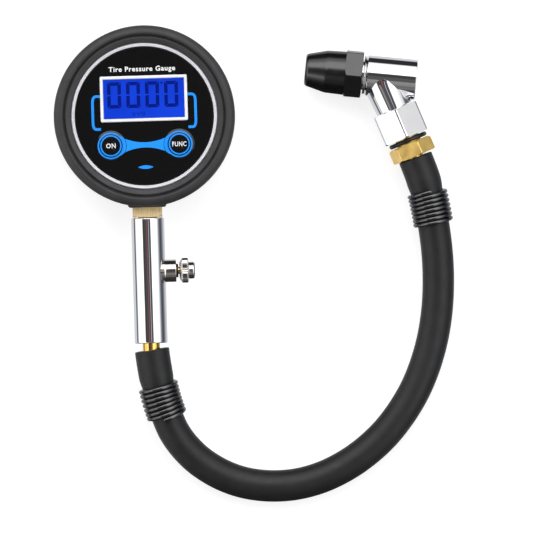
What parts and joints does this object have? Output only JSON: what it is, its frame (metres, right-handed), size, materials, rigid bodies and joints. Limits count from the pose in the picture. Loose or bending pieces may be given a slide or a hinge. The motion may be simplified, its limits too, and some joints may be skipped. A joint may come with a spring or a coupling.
{
  "type": "tire pressure gauge",
  "caption": "Digital tyre pressure gauge: round dial head in a rubber boot, chrome barrel with a bleed button, rubber hose with coiled guards and an angled swivel chuck.",
  "frame": {"origin": "centre of the boot's closed flat back, which the head lies on", "axes": "+Z out of the dial, -Y along the barrel away from the head, +X to the side the bleed button points to"},
  "size_m": [0.1751, 0.2121, 0.0326],
  "materials": {
    "boot_rubber": "moulded matte rubber with a soft sheen",
    "case_plastic": "black moulded ABS",
    "face_gloss": "glossy printed overlay",
    "bezel_silver": "satin silver",
    "white_plastic": "white moulded plastic",
    "display_blue": "backlit blue display",
    "chrome": "polished chrome plate",
    "nickel": "satin nickel plate",
    "brass": "machined brass",
    "steel": "plain steel",
    "board": "green circuit board",
    "hose_rubber": "smooth extruded rubber",
    "seal_rubber": "black nitrile",
    "guard_steel": "black coated spring wire",
    "nose_black": "black anodised"
  },
  "bodies": {
    "gauge": {"rubber_boot": "boot_rubber", "rear_case": "case_plastic", "battery_cover": "case_plastic", "cover_screw": "steel", "battery_upper": "steel", "battery_lower": "steel", "battery_contact_left": "nickel", "battery_contact_right": "nickel", "circuit_board": "board", "board_screw_1": "steel", "board_screw_2": "steel", "board_screw_3": "steel", "board_screw_4": "steel", "controller_chip": "case_plastic", "front_housing": "case_plastic", "faceplate": "face_gloss", "bezel_ring": "bezel_silver", "lcd_frame": "white_plastic", "lcd_glass": "display_blue", "backlight_plate": "white_plastic", "on_switch": "case_plastic", "func_switch": "case_plastic", "gauge_stem": "brass", "stem_nut": "brass", "sensor_o_ring": "seal_rubber", "pressure_sensor": "steel", "neck_o_ring": "seal_rubber", "valve_body": "chrome", "hose_nipple": "brass", "bleed_boss": "nickel", "bleed_bushing": "nickel", "bleed_spring": "steel", "hose": "hose_rubber", "spring_guard_near": "guard_steel", "spring_guard_far": "guard_steel", "hose_fitting": "brass", "swivel_o_ring": "seal_rubber", "snap_ring": "steel"},
    "on_key": {"on_key": "face_gloss"},
    "func_key": {"func_key": "face_gloss"},
    "bleed_button": {"bleed_button": "nickel", "bleed_stem": "brass", "bleed_seal": "seal_rubber"},
    "chuck": {"swivel_nut": "chrome", "chuck_body": "chrome", "nose_thread_ring": "chrome", "chuck_nose": "nose_black", "valve_seal": "seal_rubber", "plunger_spring": "steel"},
    "depressor": {"depressor_pin": "brass"}
  },
  "joints": [
    {"name": "on_key_press", "type": "slide", "parent": "gauge", "child": "on_key", "axis": [0, 0, -1], "range_m": [0, 0.0004], "stiffness_N_per_m": 3000, "springref_m": -0.0002},
    {"name": "func_key_press", "type": "slide", "parent": "gauge", "child": "func_key", "axis": [0, 0, -1], "range_m": [0, 0.0004], "stiffness_N_per_m": 3000, "springref_m": -0.0002},
    {"name": "bleed_press", "type": "slide", "parent": "gauge", "child": "bleed_button", "axis": [-1, 0, 0], "range_m": [0, 0.0012], "stiffness_N_per_m": 2500, "springref_m": -0.001, "deforming": ["bleed_spring"]},
    {"name": "chuck_swivel", "type": "hinge", "parent": "gauge", "child": "chuck", "pos_m": [0.1049, 0.0145, 0.01155], "axis": [0.3649, -0.9311, 0], "continuous": true},
    {"name": "depressor_press", "type": "slide", "parent": "chuck", "child": "depressor", "axis": [0.9925, -0.1219, 0], "range_m": [0, 0.0025], "stiffness_N_per_m": 1200, "springref_m": -0.001, "deforming": ["plunger_spring"]}
  ]
}
